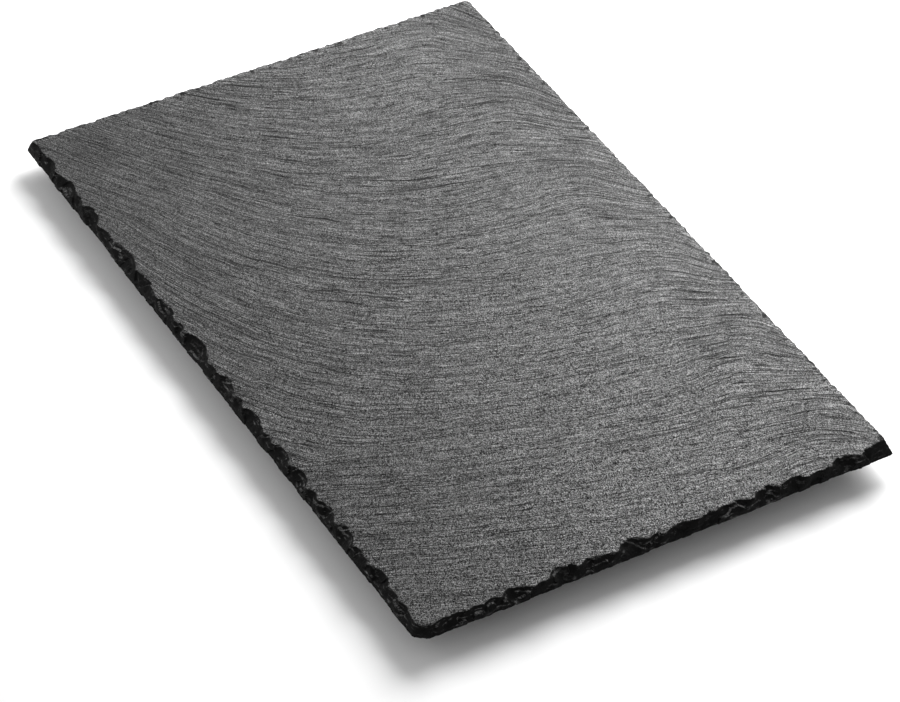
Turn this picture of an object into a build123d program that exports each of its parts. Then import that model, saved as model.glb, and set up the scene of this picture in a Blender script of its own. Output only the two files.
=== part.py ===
from build123d import *
import os
from itertools import cycle

# A slate serving board: one riven slab with dressed, chipped edges, standing on four rubber feet.
# Each foot is held to the stone by a disc of double-sided foam tape.
# Millimetres. +X runs along the length, +Y along the width, +Z up, origin on the table below the centre.

# Slab: the outline is that of its bottom face, and the dressed edge leans in from it to the top face
board_length = 300.0
board_width = 200.0
slate_thickness = 5.0
dressed_inset = 1.6
front_left_corner_radius = 0.8
front_right_corner_radius = 4.0
back_right_corner_radius = 0.6
back_left_corner_radius = 2.5

# Chips broken out of the dressed edge, each by its length along the top outline and its bite behind it.
# They stay clear of each other and of the bottom outline, which is left whole.
ripple_length = 12.0
ripple_bite = 0.2
nibble_length = 4.0
nibble_bite = 0.45
nick_length = 6.0
nick_bite = 0.9
chip_length = 10.0
chip_bite = 1.2
scallop_length = 15.0
scallop_bite = 1.7
flake_length = 12.5
flake_bite = 2.8
spall_length = 19.5
spall_bite = 3.5
whole_edge_between_chips = 0.5
chip_to_bottom_edge = 0.4

# Feet: moulded rubber bumpers, round, tapering down to the face that stands on the table
foot_height = 9.2
foot_top_diameter = 20.0
foot_contact_diameter = 16.0
foot_top_edge_radius = 0.4
foot_contact_edge_radius = 1.2
foot_distance_from_edge = 25.0

# Adhesive discs between the feet and the stone
pad_thickness = 0.8
pad_diameter = 18.0

# The order of the chips along each edge, anticlockwise from the front left corner
ripple = (ripple_length, ripple_bite)
nibble = (nibble_length, nibble_bite)
nick = (nick_length, nick_bite)
chip = (chip_length, chip_bite)
scallop = (scallop_length, scallop_bite)
flake = (flake_length, flake_bite)
spall = (spall_length, spall_bite)
front_chips = [
    chip, chip, scallop, nick, flake, chip, spall, scallop, scallop, nick, spall, nick, flake,
    nick, scallop, nick, flake, flake, nick, flake, flake, chip, flake, nick, chip,
]
right_chips = [
    scallop, nick, nick, flake, nick, flake, scallop, flake, nick, scallop, nick, scallop, flake,
    chip, chip, flake, nick, nick,
]
back_chips = [ripple, nibble, nibble, ripple, nibble, ripple, ripple, nibble]
left_chips = [ripple, nibble, ripple, nibble, nibble, ripple]

slab_bottom = foot_height + pad_thickness
slab_top = slab_bottom + slate_thickness
foot_x = board_length / 2 - foot_distance_from_edge
foot_y = board_width / 2 - foot_distance_from_edge
foot_places = {
    "front_left": (-foot_x, -foot_y),
    "front_right": (foot_x, -foot_y),
    "back_left": (-foot_x, foot_y),
    "back_right": (foot_x, foot_y),
}

os.makedirs("parts", exist_ok=True)


def chips_along(start, end, sequence):
    """Yields the chips of one edge, walked along the top outline until it is full, each with its axis.

    A chip is broken out by a cone on an upright axis outside the edge.
    """
    edge = Vector(*end) - Vector(*start)
    along = edge.normalized()
    outward = Vector(along.Y, -along.X)
    walked = 0.0
    for length, bite in cycle(sequence):
        if walked + length > edge.length:
            break
        axis_distance = (length**2 / 4 - bite**2) / (2 * bite)
        axis = Vector(*start) + along * (walked + length / 2) + outward * axis_distance
        yield (length, bite), (axis.X, axis.Y, slab_top)
        walked += length + whole_edge_between_chips


# The straight stretches of the top outline and the chips on each, gathered by kind
top_x = board_length / 2 - dressed_inset
top_y = board_width / 2 - dressed_inset
stretches = [
    ((-top_x + front_left_corner_radius, -top_y), (top_x - front_right_corner_radius, -top_y), front_chips),
    ((top_x, -top_y + front_right_corner_radius), (top_x, top_y - back_right_corner_radius), right_chips),
    ((top_x - back_right_corner_radius, top_y), (-top_x + back_left_corner_radius, top_y), back_chips),
    ((-top_x, top_y - back_left_corner_radius), (-top_x, -top_y + front_left_corner_radius), left_chips),
]
chip_axes = {}
for start, end, sequence in stretches:
    for kind, axis in chips_along(start, end, sequence):
        chip_axes.setdefault(kind, []).append(axis)

# The radius of each corner, with a point beyond that corner to find it by
corner_roundings = [
    ((-board_length, -board_width), front_left_corner_radius),
    ((board_length, -board_width), front_right_corner_radius),
    ((board_length, board_width), back_right_corner_radius),
    ((-board_length, board_width), back_left_corner_radius),
]

# Slab: a straight-edged bottom outline leaning in to the top one, with the chips broken out along the top
with BuildPart() as slate_slab:
    for height, inset in ((slab_bottom, 0.0), (slab_top, dressed_inset)):
        with BuildSketch(Plane.XY.offset(height)) as outline:
            Rectangle(board_length - 2 * inset, board_width - 2 * inset)
            for beyond_corner, radius in corner_roundings:
                fillet(outline.vertices().sort_by_distance(beyond_corner)[0], radius=radius)
    loft(ruled=True)
    for (length, bite), axes in chip_axes.items():
        top_radius = (length**2 / 4 + bite**2) / (2 * bite)
        widening = (bite + dressed_inset + chip_to_bottom_edge) / slate_thickness
        depth = min(slate_thickness, top_radius / widening)
        with Locations(*axes):
            Cone(
                bottom_radius=top_radius - widening * depth,
                top_radius=top_radius,
                height=depth,
                align=(Align.CENTER, Align.CENTER, Align.MAX),
                mode=Mode.SUBTRACT,
            )
slate_slab.part.label = "slate_slab"
export_step(slate_slab.part, "parts/slate_slab.step")

for corner, (x, y) in foot_places.items():
    # Adhesive disc: die-cut foam tape between the foot and the stone
    with BuildPart() as adhesive_pad:
        with BuildSketch(Plane.XY.offset(foot_height)):
            with Locations((x, y)):
                Circle(pad_diameter / 2)
        extrude(amount=pad_thickness)
    adhesive_pad.part.label = f"adhesive_pad_{corner}"
    export_step(adhesive_pad.part, f"parts/adhesive_pad_{corner}.step")

    # Foot: a tapered round bumper with softened edges
    with BuildPart() as foot:
        with Locations((x, y, 0)):
            Cone(
                bottom_radius=foot_contact_diameter / 2,
                top_radius=foot_top_diameter / 2,
                height=foot_height,
                align=(Align.CENTER, Align.CENTER, Align.MIN),
            )
        fillet(foot.edges().filter_by(GeomType.CIRCLE).sort_by(Axis.Z)[-1], radius=foot_top_edge_radius)
        fillet(foot.edges().filter_by(GeomType.CIRCLE).sort_by(Axis.Z)[0], radius=foot_contact_edge_radius)
    foot.part.label = f"foot_{corner}"
    export_step(foot.part, f"parts/foot_{corner}.step")
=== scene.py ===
import math

import bpy
import numpy as np
from mathutils import Matrix, Vector


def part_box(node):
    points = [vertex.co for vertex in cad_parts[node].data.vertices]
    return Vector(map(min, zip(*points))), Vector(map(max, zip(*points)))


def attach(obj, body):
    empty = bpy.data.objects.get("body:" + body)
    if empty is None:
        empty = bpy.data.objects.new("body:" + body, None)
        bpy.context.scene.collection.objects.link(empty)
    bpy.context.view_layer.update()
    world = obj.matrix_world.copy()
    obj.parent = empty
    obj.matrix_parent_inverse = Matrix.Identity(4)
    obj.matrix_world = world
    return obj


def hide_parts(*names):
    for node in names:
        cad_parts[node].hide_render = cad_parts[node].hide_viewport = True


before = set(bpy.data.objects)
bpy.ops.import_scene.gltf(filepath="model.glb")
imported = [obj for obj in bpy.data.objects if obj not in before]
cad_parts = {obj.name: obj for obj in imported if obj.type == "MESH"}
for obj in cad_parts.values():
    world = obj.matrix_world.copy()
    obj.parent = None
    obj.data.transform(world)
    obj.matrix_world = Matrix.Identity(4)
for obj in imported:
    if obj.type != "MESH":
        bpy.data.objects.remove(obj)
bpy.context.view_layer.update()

# Slate slab: one sheet of rock, split along its natural layers, so both faces are riven along the cleft.
# The edges are dressed by hand with a blade, which breaks the rim of the top away in flakes and steps.
# The stone is left bare, and lies on the four feet under its corners.

slab_low, slab_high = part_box("slate_slab")
slab_grid = 0.00042
most_slab_triangles = 196_000


def pick_only(piece):
    """Makes one piece the only selected and active one."""
    bpy.ops.object.select_all(action="DESELECT")
    piece.select_set(True)
    bpy.context.view_layer.objects.active = piece


def finish_with(piece, kind, **settings):
    """Adds a modifier to the active piece with these settings and applies it."""
    modifier = piece.modifiers.new(kind.lower(), kind)
    for name, value in settings.items():
        setattr(modifier, name, value)
    bpy.ops.object.modifier_apply(modifier=modifier.name)


slab = bpy.data.objects.new("riven_slab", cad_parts["slate_slab"].data.copy())
bpy.context.scene.collection.objects.link(slab)
slab.data.materials.clear()
pick_only(slab)
bpy.ops.object.mode_set(mode="EDIT")
bpy.ops.mesh.select_all(action="SELECT")
bpy.ops.mesh.remove_doubles(threshold=1e-6)

# The two corners on the right are knocked off by a facet each: a point of it, and which way it faces
back_right_facet = (slab_high.x - 0.0046, slab_high.y - 0.0016, slab_high.z), (0.712, 0.160, 0.684)
front_right_facet = (slab_high.x - 0.0018, slab_low.y + 0.0020, slab_high.z), (0.8, -0.6, 0.0)
for facet_point, facet_normal in (back_right_facet, front_right_facet):
    bpy.ops.mesh.select_all(action="SELECT")
    bpy.ops.mesh.bisect(plane_co=facet_point, plane_no=facet_normal, use_fill=True, clear_outer=True)
bpy.ops.object.mode_set(mode="OBJECT")
finish_with(slab, "REMESH", mode="VOXEL", voxel_size=slab_grid)


def numbers_of(items, name, width):
    """One row of numbers for each item of a mesh."""
    numbers = np.empty(len(items) * width, np.float32)
    items.foreach_get(name, numbers)
    return numbers.reshape(-1, width)


def corner_vertices(mesh):
    """The vertex that lies at each corner of each face."""
    vertices = np.empty(len(mesh.loops), np.int32)
    mesh.loops.foreach_get("vertex_index", vertices)
    return vertices


# The cleft runs across the board and leans to the right. It bends away towards the front left and the
# back left, and near the back edge it lies in folds.
cleft_lean = 0.17
front_bend_from = 0.034
front_lean_growth = 1.0
front_bend = 5.0
front_bend_ends = 0.06
front_bend_reach = 0.15
back_bend_from = 0.045
back_bend = 23.0
back_bend_ends = 0.214
fold = 1100.0
fold_turn = 0.03
fold_spacing = 0.055
fold_crest = 0.085
cleft_width = 0.01
cleft_length = 0.1


def lay_cleft_map(mesh):
    """Gives the mesh a map of where each point lies across the cleft's lines and along them."""
    x, y, _ = numbers_of(mesh.vertices, "co", 3).T
    in_front = np.clip(front_bend_from - y, 0.0, None) ** 2
    behind = np.clip(y - back_bend_from, 0.0, None)
    towards_left = np.clip((front_bend_ends - x) / front_bend_reach, 0.0, 1.0)
    folded = 0.5 + 0.5 * np.cos(2 * np.pi * (x - fold_crest) / fold_spacing)
    drift = cleft_lean * y - (front_lean_growth + front_bend * towards_left) * in_front
    drift += back_bend * (back_bend_ends - x) * behind**2
    drift += fold * folded * behind**2 * (behind / 3 - fold_turn / 2)
    places = np.stack([(x - drift) / cleft_width, y / cleft_length], 1)
    layer = mesh.uv_layers.get("cleft") or mesh.uv_layers.new(name="cleft")
    layer.uv.foreach_set("vector", places[corner_vertices(mesh)].astype(np.float32).ravel())


def ease(values, start, end):
    """Rises smoothly from 0 at start to 1 at end."""
    share = np.clip((values - start) / (end - start), 0.0, 1.0)
    return share * share * (3.0 - 2.0 * share)


def weigh(piece, name, weights, grades=50):
    """Stores a weight for each vertex as a vertex group, in this many even grades."""
    group = piece.vertex_groups.new(name=name)
    vertex_grades = np.round(weights * grades).astype(int)
    for grade in range(1, grades + 1):
        members = np.flatnonzero(vertex_grades == grade)
        group.add(members.tolist(), grade / grades, "REPLACE")


# Where the stone is riven and where it is broken, by which way it faces and how near the rim it is.
# The back and left rims are left nearly whole, and so are the corners and the foot of the edge.
broken_slope = 0.86
riven_slope = 0.97
rim_reach = 0.0052
rim_fade = 0.006
whole_rim_share = 0.22
least_height_share = 0.4
whole_below = 0.0002
broken_above = 0.0022
whole_corner = 0.002
whole_corner_fade = 0.01
flat_at_pad = 0.0095
riven_past_pad = 0.014
x, y, z = numbers_of(slab.data.vertices, "co", 3).T
upward = numbers_of(slab.data.vertices, "normal", 3)[:, 2]
top_share = ease(upward, broken_slope, riven_slope)
under_share = ease(-upward, broken_slope, riven_slope)
riven_share = np.clip(top_share + under_share, 0.0, 1.0)
height_share = ease(z, slab_low.z + whole_below, slab_low.z + broken_above)
height_share = least_height_share + (1.0 - least_height_share) * height_share
near_long_edge = 1.0 - ease(slab_high.y - np.abs(y), rim_reach, rim_reach + rim_fade)
near_short_edge = 1.0 - ease(slab_high.x - np.abs(x), rim_reach, rim_reach + rim_fade)
near_back_edge = np.where(y > 0.0, near_long_edge, 0.0)
near_left_edge = np.where(x < 0.0, near_short_edge, 0.0)
near_long_edge *= np.where(y > 0.0, whole_rim_share, 1.0)
near_short_edge *= np.where(x < 0.0, whole_rim_share, 1.0)
from_corner = np.hypot(slab_high.x - np.abs(x), slab_high.y - np.abs(y))
edge_share = height_share * ease(from_corner, whole_corner, whole_corner_fade)
pad_low, pad_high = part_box("adhesive_pad_back_right")
pad_centre = (pad_low + pad_high) / 2
from_pad = np.hypot(np.abs(x) - pad_centre.x, np.abs(y) - pad_centre.y)
weigh(slab, "long_edges", near_long_edge * edge_share)
weigh(slab, "short_edges", near_short_edge * edge_share)
weigh(slab, "back_edge", near_back_edge * edge_share)
weigh(slab, "left_edge", near_left_edge * edge_share)
weigh(slab, "riven_faces", riven_share)
weigh(slab, "broken_face", 1.0 - riven_share)
weigh(slab, "top_face", top_share)
weigh(slab, "underside", under_share * ease(from_pad, flat_at_pad, riven_past_pad))
lay_cleft_map(slab.data)


def stone_noise(name, basis, size, depth, ledges=0):
    """A cloud texture, sized in the units of its coordinates, and cut into ledges if a count is given."""
    texture = bpy.data.textures.new(name, "CLOUDS")
    texture.noise_basis = basis
    texture.noise_scale = size
    texture.noise_depth = depth
    if ledges:
        texture.use_color_ramp = True
        texture.color_ramp.interpolation = "CONSTANT"
        for ledge in range(1, ledges - 1):
            texture.color_ramp.elements.new(ledge / ledges)
        for ledge, element in enumerate(texture.color_ramp.elements):
            share = ledge / (ledges - 1)
            element.position = ledge / ledges
            element.color = (share, share, share, 1.0)
    return texture


def break_edges(long_group, short_group, texture, bite, layers):
    """Moves the rim in and out by a texture squeezed upright, so it breaks in steps along the layers."""
    bpy.ops.object.empty_add(scale=(1.0, 1.0, layers))
    squeeze = bpy.context.object
    bpy.context.view_layer.update()
    pick_only(slab)
    for group, direction in ((long_group, "Y"), (short_group, "X")):
        finish_with(
            slab,
            "DISPLACE",
            texture=texture,
            texture_coords="OBJECT",
            texture_coords_object=squeeze,
            vertex_group=group,
            direction=direction,
            strength=bite,
            mid_level=0.5,
        )
    bpy.data.objects.remove(squeeze)


for texture, bite, layers in (
    (stone_noise("spalls", "VORONOI_F1", size=0.011, depth=0), 0.0012, 0.6),
    (stone_noise("flakes", "VORONOI_F1", size=0.005, depth=0), 0.0010, 0.45),
    (stone_noise("layers", "IMPROVED_PERLIN", size=0.008, depth=1, ledges=4), 0.0022, 0.16),
):
    break_edges("long_edges", "short_edges", texture, bite, layers)
nibbles = stone_noise("nibbles", "IMPROVED_PERLIN", size=0.0024, depth=1)
break_edges("back_edge", "left_edge", nibbles, bite=0.0018, layers=1.0)
finish_with(
    slab,
    "DISPLACE",
    texture=stone_noise("hackle", "VORONOI_F1", size=0.0018, depth=1),
    texture_coords="LOCAL",
    vertex_group="broken_face",
    strength=0.0003,
    mid_level=0.5,
)

# The riven faces: broad swells and thin steps, both drawn out along the cleft
for group, texture, strength in (
    ("top_face", stone_noise("swells", "IMPROVED_PERLIN", size=1.6, depth=1), 0.0005),
    ("top_face", stone_noise("steps", "IMPROVED_PERLIN", size=0.3, depth=1), 0.00016),
    ("underside", stone_noise("under_swells", "IMPROVED_PERLIN", size=1.9, depth=2), 0.0005),
):
    finish_with(
        slab,
        "DISPLACE",
        texture=texture,
        texture_coords="UV",
        uv_layer="cleft",
        vertex_group=group,
        direction="Z",
        strength=strength,
        mid_level=0.5,
    )

# Fewer triangles on the riven faces, and the finish of each face by how much of it is broken
slab.data.calc_loop_triangles()
finish_with(
    slab,
    "DECIMATE",
    ratio=most_slab_triangles / len(slab.data.loop_triangles),
    vertex_group="riven_faces",
    use_collapse_triangulate=True,
)
lay_cleft_map(slab.data)
broken_group = slab.vertex_groups["broken_face"].index
broken = np.zeros(len(slab.data.vertices), np.float32)
for vertex in slab.data.vertices:
    for membership in vertex.groups:
        if membership.group == broken_group:
            broken[vertex.index] = membership.weight
slab.vertex_groups.clear()
face_is_broken = broken[corner_vertices(slab.data)].reshape(-1, 3).mean(1) > 0.5
slab.data.polygons.foreach_set("material_index", face_is_broken.astype(np.int32))
pick_only(slab)
bpy.ops.object.shade_smooth_by_angle(angle=math.radians(38))


def new_material(name):
    """A material with its node tree and its Principled shader."""
    material = bpy.data.materials.new(name)
    material.use_nodes = True
    return material, material.node_tree, material.node_tree.nodes["Principled BSDF"]


def place(tree, kind, feeds, **options):
    """Adds a node with these options and feeds its inputs with values or with other nodes' outputs."""
    node = tree.nodes.new(kind)
    for name, value in options.items():
        setattr(node, name, value)
    for name, value in feeds.items():
        if isinstance(value, bpy.types.NodeSocket):
            tree.links.new(value, node.inputs[name])
        else:
            node.inputs[name].default_value = value
    return node


def noise(tree, vector, scale, detail, dimensions="3D"):
    """The value of a noise texture, about 0.5 on average."""
    feeds = {"Vector": vector, "Scale": scale, "Detail": detail, "Roughness": 0.6}
    return place(tree, "ShaderNodeTexNoise", feeds, noise_dimensions=dimensions).outputs["Fac"]


def flat_noise(tree, vector, scale, detail=1.0):
    """The value of a noise texture that is the same at every height."""
    return noise(tree, vector, scale, detail, dimensions="2D")


def math_of(tree, operation, first, second, third=0.0):
    """The result of one sum on two values, or on three."""
    feeds = {0: first, 1: second, 2: third}
    return place(tree, "ShaderNodeMath", feeds, operation=operation).outputs[0]


def spread(tree, value, source, target):
    """A value moved from its source range to a target range, and held inside that."""
    low, high = source
    to_low, to_high = target
    feeds = {"Value": value, "From Min": low, "From Max": high, "To Min": to_low, "To Max": to_high}
    return place(tree, "ShaderNodeMapRange", feeds).outputs["Result"]


def emboss(tree, shader, height, strength, distance):
    """Gives a surface the relief of a height pattern."""
    bump = place(tree, "ShaderNodeBump", {"Height": height, "Strength": strength, "Distance": distance})
    tree.links.new(bump.outputs["Normal"], shader.inputs["Normal"])


def random_cells(tree, vector, scale, few_bright=2.0):
    """A random value for each cell of a flat pattern, few of them bright, from -0.5 up and 0 on average."""
    feeds = {"Vector": vector, "Scale": scale}
    cells = place(tree, "ShaderNodeTexVoronoi", feeds, voronoi_dimensions="2D")
    value = place(tree, "ShaderNodeSeparateColor", {"Color": cells.outputs["Color"]}).outputs["Red"]
    bright_few = math_of(tree, "POWER", value, few_bright)
    return math_of(tree, "MULTIPLY_ADD", bright_few, (few_bright + 1.0) / 2.0, -0.5)


def along_cleft(tree, cleft, width, length):
    """Coordinates on the cleft map that count this width across its lines and this length along them."""
    feeds = {"Vector": cleft, "Scale": (cleft_width / width, cleft_length / length, 1.0)}
    return place(tree, "ShaderNodeMapping", feeds).outputs["Vector"]


def cleft_noise(tree, cleft, width, length, detail):
    """Noise drawn out along the cleft, with marks of about this width and length."""
    return flat_noise(tree, along_cleft(tree, cleft, width, length), 1.0, detail)


# Riven finish: bright sand, dark fibres, fine lines and broader ridges laid along a swaying cleft, on thin
# steps between layers, with painted shade at the feet of the steps. The back and left rims carry a painted
# highlight, with small dark nicks. Painted light also makes the board darker along the front and lighter
# towards the back right.
slate_tone = 0.079
brightest_grain = 1.2
sand_per_metre = 3600.0
sways_per_metre = 70.0
sway_width = 0.0022
fibre_width = 0.00045
fibre_length = 0.003
line_width = 0.0007
line_length = 0.010
ridge_width = 0.0019
ridge_length = 0.014
# Band of painted highlight along the back and left rims
rim_highlight_inside = 0.0050
rim_highlight_outside = 0.0034
rim_nicks_per_metre = 280.0
step_width = 0.00625
step_length = 0.208
steps_per_swing = 12.0
riser_share = 0.22
foot_share = 0.12
shade_stride = 0.618
step_shade_breaks_per_cleft = 6.0
step_shade_patches_per_metre = 22.0
none_to_all = (0.0, 1.0)
all_to_none = (1.0, 0.0)

# Ways across the board: how those on the slant run, and from where to where the stone or the painted light
# on it changes, in metres
front_right_slant = -0.65
front_right_range = (-0.05, 0.16)
back_right_slant = 0.8
# Where the painted sheen grows towards the back right
painted_sheen_range = (0.0, 0.15)
front_left_range = (0.04, -0.02)
less_sand_range = (0.03, 0.09)
back_range = (0.03, 0.085)
# Where the painted shade along the front fades out
painted_front_shade_range = (-0.085, -0.015)

riven, tree, riven_shader = new_material("riven_slate")
straight_cleft = place(tree, "ShaderNodeUVMap", {}, uv_map="cleft").outputs["UV"]
spot = place(tree, "ShaderNodeTexCoord", {}).outputs["Object"]
spot_parts = place(tree, "ShaderNodeSeparateXYZ", {"Vector": spot}).outputs
sway = math_of(tree, "SUBTRACT", flat_noise(tree, spot, sways_per_metre), 0.5)
sideways = math_of(tree, "MULTIPLY", sway, sway_width / cleft_width)
feeds = {0: straight_cleft, 1: place(tree, "ShaderNodeCombineXYZ", {"X": sideways}).outputs["Vector"]}
cleft = place(tree, "ShaderNodeVectorMath", feeds, operation="ADD").outputs["Vector"]

# How sandy, fibrous, streaky and stepped the stone is from place to place
towards_front_right = math_of(tree, "MULTIPLY_ADD", spot_parts["Y"], front_right_slant, spot_parts["X"])
towards_back_right = math_of(tree, "MULTIPLY_ADD", spot_parts["X"], back_right_slant, spot_parts["Y"])
sandiness = spread(tree, towards_front_right, front_right_range, (0.8, 1.2))
less_sand = spread(tree, spot_parts["Y"], less_sand_range, (1.0, 0.8))
sandiness = math_of(tree, "MULTIPLY", sandiness, less_sand)
fibrousness = spread(tree, towards_front_right, front_right_range, (0.22, 0.18))
towards_back = spread(tree, spot_parts["Y"], back_range, none_to_all)
towards_front_left = spread(tree, towards_back_right, front_left_range, (0.3, 0.7))
streaking = math_of(tree, "MAXIMUM", towards_back, towards_front_left)
stepping = spread(tree, streaking, none_to_all, (0.45, 1.15))

# Grain, lines and ridges
sand = math_of(tree, "MULTIPLY", random_cells(tree, spot, sand_per_metre), sandiness)
fibres = random_cells(tree, along_cleft(tree, cleft, fibre_width, fibre_length), 1.0)
grain = math_of(tree, "SUBTRACT", sand, math_of(tree, "MULTIPLY", fibres, fibrousness))
lines = cleft_noise(tree, cleft, line_width, line_length, detail=2.0)
ridges = math_of(tree, "SUBTRACT", cleft_noise(tree, cleft, ridge_width, ridge_length, detail=1.0), 0.5)
ridges = math_of(tree, "MULTIPLY", ridges, streaking)

# Painted highlight on the back and left rims, where they catch the light, and the small dark nicks in it
back_highlight_band = (slab_high.y - rim_highlight_inside, slab_high.y - rim_highlight_outside)
left_highlight_band = (slab_low.x + rim_highlight_inside, slab_low.x + rim_highlight_outside)
back_rim_highlight = spread(tree, spot_parts["Y"], back_highlight_band, none_to_all)
left_rim_highlight = spread(tree, spot_parts["X"], left_highlight_band, none_to_all)
painted_rim_highlight = math_of(tree, "MAXIMUM", back_rim_highlight, left_rim_highlight)
nicks = spread(tree, flat_noise(tree, spot, rim_nicks_per_metre), (0.58, 0.64), none_to_all)
rim_nicks = math_of(tree, "MULTIPLY", painted_rim_highlight, nicks)

# Steps: each layer ends in a short riser, with painted shade along parts of its foot
swings = cleft_noise(tree, cleft, step_width, step_length, detail=2.0)
depth_in_layers = math_of(tree, "MULTIPLY", swings, steps_per_swing)
layer = math_of(tree, "FLOOR", depth_in_layers, 0.0)
within = math_of(tree, "FRACT", depth_in_layers, 0.0)
riser_from = 1.0 - riser_share
riser = spread(tree, within, (riser_from, 1.0), none_to_all)
terrace = math_of(tree, "ADD", layer, riser)
layer_shade = math_of(tree, "FRACT", math_of(tree, "MULTIPLY", layer, shade_stride), 0.0)
# Painted shade: the foot of each step is painted darker, broken up along the cleft and in patches
foot_of_step = spread(tree, within, (riser_from - foot_share, riser_from), none_to_all)
painted_step_shade = math_of(tree, "MULTIPLY", foot_of_step, spread(tree, riser, (0.5, 1.0), all_to_none))
for mask in (
    spread(tree, flat_noise(tree, cleft, step_shade_breaks_per_cleft), (0.4, 0.54), none_to_all),
    spread(tree, flat_noise(tree, spot, step_shade_patches_per_metre), (0.3, 0.55), (0.2, 1.0)),
    stepping,
):
    painted_step_shade = math_of(tree, "MULTIPLY", painted_step_shade, mask)

# Relief: how high each pattern stands, in millimetres
relief = math_of(tree, "MULTIPLY", grain, 0.1)
for pattern, height in (
    (lines, 0.7),
    (ridges, 0.6),
    (terrace, math_of(tree, "MULTIPLY", stepping, 0.45)),
):
    relief = math_of(tree, "MULTIPLY_ADD", pattern, height, relief)
emboss(tree, riven_shader, relief, strength=1.0, distance=0.001)

# Tone: the grain's own, times a factor for each pattern and for each way across the board. The factors
# along the front and towards the back right are painted light: painted shade along the front and a painted
# sheen towards the back right.
tone = spread(tree, grain, (-0.5, brightest_grain), (0.0, (1.0 + 2.0 * brightest_grain) * slate_tone))
for pattern, source, factors in (
    (lines, (0.3, 0.7), (0.78, 1.22)),
    (ridges, (-0.25, 0.25), (0.6, 1.4)),
    (layer_shade, none_to_all, (0.92, 1.08)),
    # painted shade at the feet of the steps
    (painted_step_shade, none_to_all, all_to_none),
    # painted highlight on the back and left rims
    (painted_rim_highlight, none_to_all, (1.0, 1.25)),
    (rim_nicks, none_to_all, (1.0, 0.05)),
    # painted shade: darker along the front
    (spot_parts["Y"], painted_front_shade_range, (0.8, 1.05)),
    # painted sheen: lighter towards the back right
    (towards_back_right, painted_sheen_range, (1.0, 1.42)),
):
    tone = math_of(tree, "MULTIPLY", tone, spread(tree, pattern, source, factors))
tree.links.new(tone, riven_shader.inputs["Base Color"])
tree.links.new(spread(tree, grain, (-0.5, 0.5), (0.95, 0.35)), riven_shader.inputs["Roughness"])
riven_shader.inputs["Specular IOR Level"].default_value = 0.3
slab.data.materials.append(riven)

# Broken finish: nearly black, partly the darker broken stone and partly painted shade on faces turned away
# from the softbox, with painted glints on level ledges and clusters of grey painted glints along the layers
# Near-black base: partly the darker broken stone, partly painted shade
dark_stone_and_shade_tone = 0.004
# Tones of the painted glints: on level ledges, and in grey patches along the layers
ledge_glint_tone = 0.11
glint_patch_tone = 0.17
glint_patches_per_metre = 270.0
layers_per_glint_patch = 4.0
clusters_per_metre = 70.0
grit_per_metre = 1600.0
broken_stone, tree, broken_shader = new_material("broken_slate")
spot = place(tree, "ShaderNodeTexCoord", {}).outputs["Object"]
facing = place(tree, "ShaderNodeNewGeometry", {}).outputs["True Normal"]
facing_up = place(tree, "ShaderNodeSeparateXYZ", {"Vector": facing}).outputs["Z"]
grit = noise(tree, spot, grit_per_metre, detail=2.0)
layered = place(tree, "ShaderNodeMapping", {"Vector": spot, "Scale": (1.0, 1.0, layers_per_glint_patch)})
glint_patch_noise = noise(tree, layered.outputs["Vector"], glint_patches_per_metre, detail=3.0)
clusters = noise(tree, spot, clusters_per_metre, detail=1.0)
# Painted glints: ledges that face up are painted lighter
painted_ledge_glints = spread(tree, facing_up, (0.8, 0.97), (0.0, ledge_glint_tone))
# Painted glints: grey patches drawn out along the layers, gathered in clusters and broken up by grit
painted_glints = math_of(tree, "MAXIMUM", painted_ledge_glints, spread(tree, glint_patch_noise, (0.56, 0.74), (0.0, glint_patch_tone)))
painted_glints = math_of(tree, "MULTIPLY", painted_glints, spread(tree, clusters, (0.42, 0.6), (0.25, 1.2)))
painted_glints = math_of(tree, "MULTIPLY", painted_glints, spread(tree, grit, (0.4, 0.6), (0.3, 1.0)))
tree.links.new(math_of(tree, "ADD", painted_glints, dark_stone_and_shade_tone), broken_shader.inputs["Base Color"])
tree.links.new(spread(tree, grit, (0.3, 0.7), (0.75, 0.55)), broken_shader.inputs["Roughness"])
broken_shader.inputs["Specular IOR Level"].default_value = 0.06
emboss(tree, broken_shader, grit, strength=0.6, distance=0.0004)
slab.data.materials.append(broken_stone)
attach(slab, "root")
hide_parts("slate_slab")

# Rubber feet: four bumpers moulded from black rubber, tapered down to a contact face with a shallow dish.
# Each hangs from its adhesive disc, and its grip keeps the board from sliding.

corners = ("front_left", "front_right", "back_left", "back_right")
foot_contact_radius = 0.008
contact_rounding = 0.0012
top_rounding = 0.0004
contact_rim = 0.0022
dish_depth = 0.0004
ring_tolerance = 1e-5
facing_down = -0.9
foot_low, foot_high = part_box("foot_front_left")
foot_height = foot_high.z - foot_low.z
foot_radius = (foot_high.x - foot_low.x) / 2


def choose(mesh, kind, wanted):
    """Selects the faces or edges for which wanted says yes, and nothing else, in edit mode."""
    bpy.ops.mesh.select_mode(type=kind)
    bpy.ops.mesh.select_all(action="DESELECT")
    bpy.ops.object.mode_set(mode="OBJECT")
    for item in mesh.polygons if kind == "FACE" else mesh.edges:
        item.select = wanted(item)
    bpy.ops.object.mode_set(mode="EDIT")


def ring_at(mesh, height, radius):
    """Says whether an edge lies on the level ring of this height and radius about the Z axis."""

    def on_ring(edge):
        ends = [mesh.vertices[i].co for i in edge.vertices]
        at_height = all(abs(end.z - height) < ring_tolerance for end in ends)
        at_radius = all(abs(end.xy.length - radius) < ring_tolerance for end in ends)
        return at_height and at_radius

    return on_ring


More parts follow.
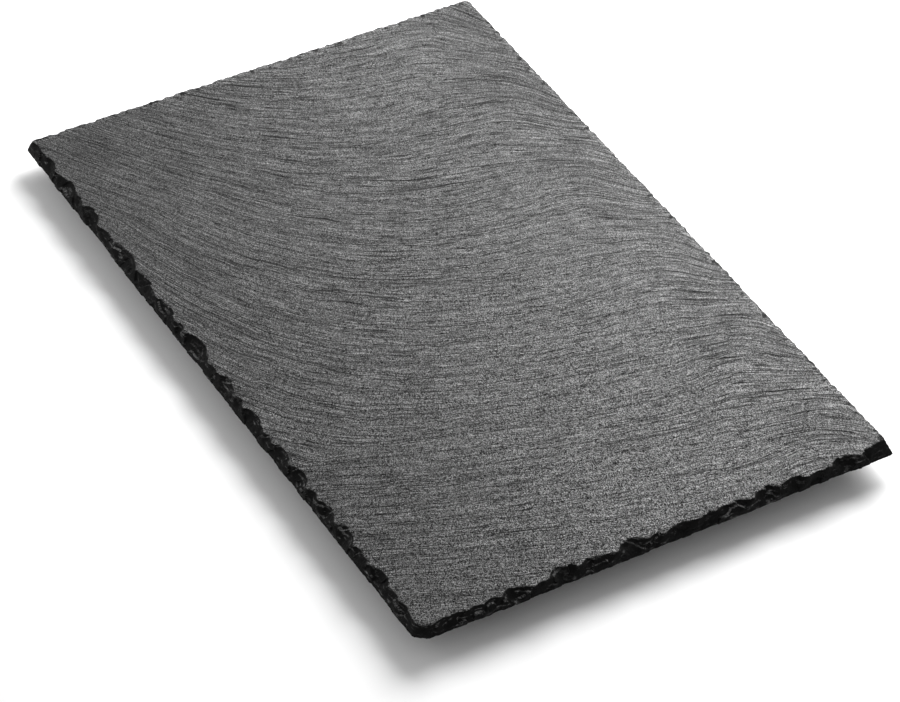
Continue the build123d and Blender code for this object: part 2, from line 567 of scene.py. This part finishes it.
bpy.ops.object.select_all(action="DESELECT")
bpy.ops.mesh.primitive_cone_add(
    vertices=72,
    radius1=foot_contact_radius,
    radius2=foot_radius,
    depth=foot_height,
    location=(0, 0, foot_height / 2),
)
foot_model = bpy.context.object
bpy.ops.object.transform_apply(location=True)
foot_mesh = foot_model.data
bpy.ops.object.mode_set(mode="EDIT")
choose(foot_mesh, "FACE", lambda face: face.normal.z < facing_down)
bpy.ops.mesh.inset(thickness=contact_rim)
bpy.ops.mesh.inset(thickness=dish_depth)
bpy.ops.transform.translate(value=(0, 0, dish_depth))
choose(foot_mesh, "EDGE", ring_at(foot_mesh, 0.0, foot_contact_radius))
bpy.ops.mesh.bevel(offset=contact_rounding, segments=6)
choose(foot_mesh, "EDGE", ring_at(foot_mesh, foot_height, foot_radius))
bpy.ops.mesh.bevel(offset=top_rounding, segments=4)
bpy.ops.object.mode_set(mode="OBJECT")
bpy.ops.object.shade_smooth_by_angle(angle=math.radians(30))

# Rubber: black, with a faint bloom and a fine stipple from the mould
blooms_per_metre = 300.0
stipples_per_metre = 4000.0
rubber, tree, rubber_shader = new_material("moulded_rubber")
spot = place(tree, "ShaderNodeTexCoord", {}).outputs["Object"]
bloom = noise(tree, spot, blooms_per_metre, detail=4.0)
stipple = noise(tree, spot, stipples_per_metre, detail=2.0)
tree.links.new(spread(tree, bloom, (0.3, 0.7), (0.018, 0.034)), rubber_shader.inputs["Base Color"])
tree.links.new(spread(tree, stipple, (0.3, 0.7), (0.55, 0.8)), rubber_shader.inputs["Roughness"])
emboss(tree, rubber_shader, stipple, strength=0.3, distance=0.0001)
foot_mesh.materials.append(rubber)


def set_down(model, name, node):
    """Sets a copy of a model, with its own mesh, in the place of a node."""
    low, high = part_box(node)
    middle = (low + high) / 2
    piece = bpy.data.objects.new(name, model.data.copy())
    bpy.context.scene.collection.objects.link(piece)
    piece.data.transform(Matrix.Translation((middle.x, middle.y, low.z)))
    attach(piece, "root")
    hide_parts(node)


for corner in corners:
    set_down(foot_model, f"rubber_foot_{corner}", f"foot_{corner}")
bpy.data.objects.remove(foot_model)

# Adhesive discs: die-cut from white double-sided foam tape, one between each foot and the stone.
# The slab's weight presses the foam out a little round its edge.

pad_height = pad_high.z - pad_low.z
pad_radius = (pad_high.x - pad_low.x) / 2
pad_bulge = 1.012
pad_rounding = pad_height / 4
bpy.ops.object.select_all(action="DESELECT")
bpy.ops.mesh.primitive_cylinder_add(
    vertices=96,
    radius=pad_radius,
    depth=pad_height,
    location=(0, 0, pad_height / 2),
)
pad_model = bpy.context.object
bpy.ops.object.transform_apply(location=True)
bpy.ops.object.mode_set(mode="EDIT")
bpy.ops.mesh.select_all(action="SELECT")
bpy.ops.mesh.bisect(plane_co=(0, 0, pad_height / 2), plane_no=(0, 0, 1))
bpy.ops.transform.resize(value=(pad_bulge, pad_bulge, 1), center_override=(0, 0, pad_height / 2))
bpy.ops.mesh.bevel(offset=pad_rounding, segments=3)
bpy.ops.object.mode_set(mode="OBJECT")
bpy.ops.object.shade_smooth_by_angle(angle=math.radians(40))

# Foam: white, with fine open cells
foam_cells_per_metre = 3500.0
foam, tree, foam_shader = new_material("adhesive_foam")
spot = place(tree, "ShaderNodeTexCoord", {}).outputs["Object"]
feeds = {"Vector": spot, "Scale": foam_cells_per_metre}
cells = place(tree, "ShaderNodeTexVoronoi", feeds).outputs["Distance"]
tree.links.new(spread(tree, cells, (0.0, 0.7), (0.62, 0.8)), foam_shader.inputs["Base Color"])
foam_shader.inputs["Roughness"].default_value = 0.8
emboss(tree, foam_shader, cells, strength=0.5, distance=0.0001)
pad_model.data.materials.append(foam)
for corner in corners:
    set_down(pad_model, f"adhesive_disc_{corner}", f"adhesive_pad_{corner}")
bpy.data.objects.remove(pad_model)

# Studio: a white table, a softbox above the back left, a weak fill light at the front left and a pale room

table_reach = 6.0
bpy.ops.mesh.primitive_plane_add(size=table_reach)
table = bpy.context.object
table.name = "table"
table_white, _, table_shader = new_material("table_white")
table_shader.inputs["Base Color"].default_value = (0.9, 0.9, 0.9, 1.0)
table_shader.inputs["Roughness"].default_value = 0.8
table.data.materials.append(table_white)

for name, towards, distance, size, energy in (
    ("softbox", Vector((-0.351, 0.584, 0.731)), 0.5, 0.42, 6.0),
    ("fill", Vector((-0.670, -0.642, 0.372)), 1.2, 0.8, 4.5),
):
    light = bpy.data.objects.new(name, bpy.data.lights.new(name, "AREA"))
    bpy.context.scene.collection.objects.link(light)
    light.visible_camera = False
    light.data.size = size
    light.data.energy = energy
    light.location = towards * distance
    light.rotation_euler = towards.to_track_quat("Z", "Y").to_euler()

room = bpy.data.worlds.new("room")
room.use_nodes = True
room_light = room.node_tree.nodes["Background"].inputs
room_light["Strength"].default_value = 0.38
room_light["Color"].default_value = (1.0, 1.0, 1.0, 1.0)
bpy.context.scene.world = room

# Camera: a long lens from the front right, which looks down on the board with a slight roll

camera_azimuth = math.radians(56.84)
camera_elevation = math.radians(42.08)
camera_roll = math.radians(3.6)
camera_distance = 1.5
camera_target = Vector((0.0288, -0.0151, 0.012))
camera = bpy.data.objects.new("camera", bpy.data.cameras.new("camera"))
bpy.context.scene.collection.objects.link(camera)
camera.data.lens = 162.76
camera.data.sensor_width = 36.0
backward = Vector((
    math.sin(camera_azimuth) * math.cos(camera_elevation),
    -math.cos(camera_azimuth) * math.cos(camera_elevation),
    math.sin(camera_elevation),
))
level_right = Vector((math.cos(camera_azimuth), math.sin(camera_azimuth), 0.0))
level_up = backward.cross(level_right)
right = math.cos(camera_roll) * level_right + math.sin(camera_roll) * level_up
up = math.cos(camera_roll) * level_up - math.sin(camera_roll) * level_right
turn = Matrix((right, up, backward)).transposed().to_4x4()
camera.matrix_world = Matrix.Translation(camera_target + backward * camera_distance) @ turn
bpy.context.scene.camera = camera
bpy.context.scene.view_settings.view_transform = "Standard"
